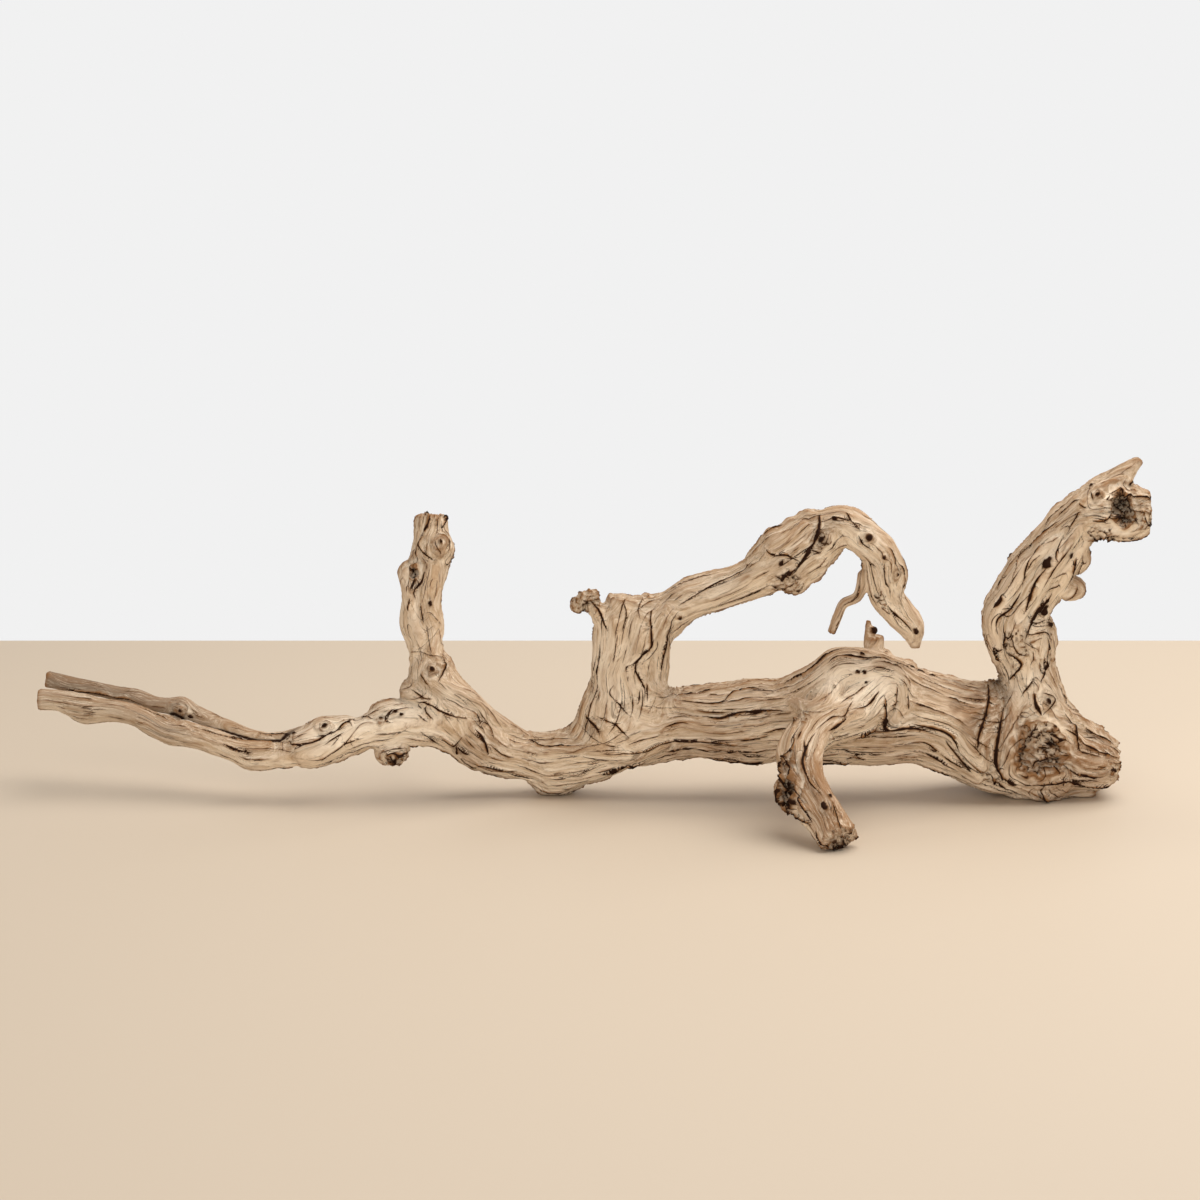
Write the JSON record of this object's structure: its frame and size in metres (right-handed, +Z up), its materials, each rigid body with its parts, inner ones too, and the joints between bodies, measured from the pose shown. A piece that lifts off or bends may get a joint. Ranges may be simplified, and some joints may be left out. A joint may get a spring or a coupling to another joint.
{
  "type": "piece of driftwood",
  "caption": "Weathered, forked branch lying on its side: a cracked trunk with a long split arm, upright stubs, a hooked arch and a bent foot; a natural display or perching piece.",
  "frame": {"origin": "middle of the branch's bounding box, on the surface it lies on", "axes": "+X along the trunk, from the long split arm towards the thick base; +Y from the foot's side, which is the front, to the back; +Z up"},
  "size_m": [0.5502, 0.1393, 0.173],
  "materials": {
    "driftwood": "bare, dry, weathered wood with open grain cracks"
  },
  "bodies": {
    "root": {"driftwood": "driftwood"}
  },
  "joints": []
}
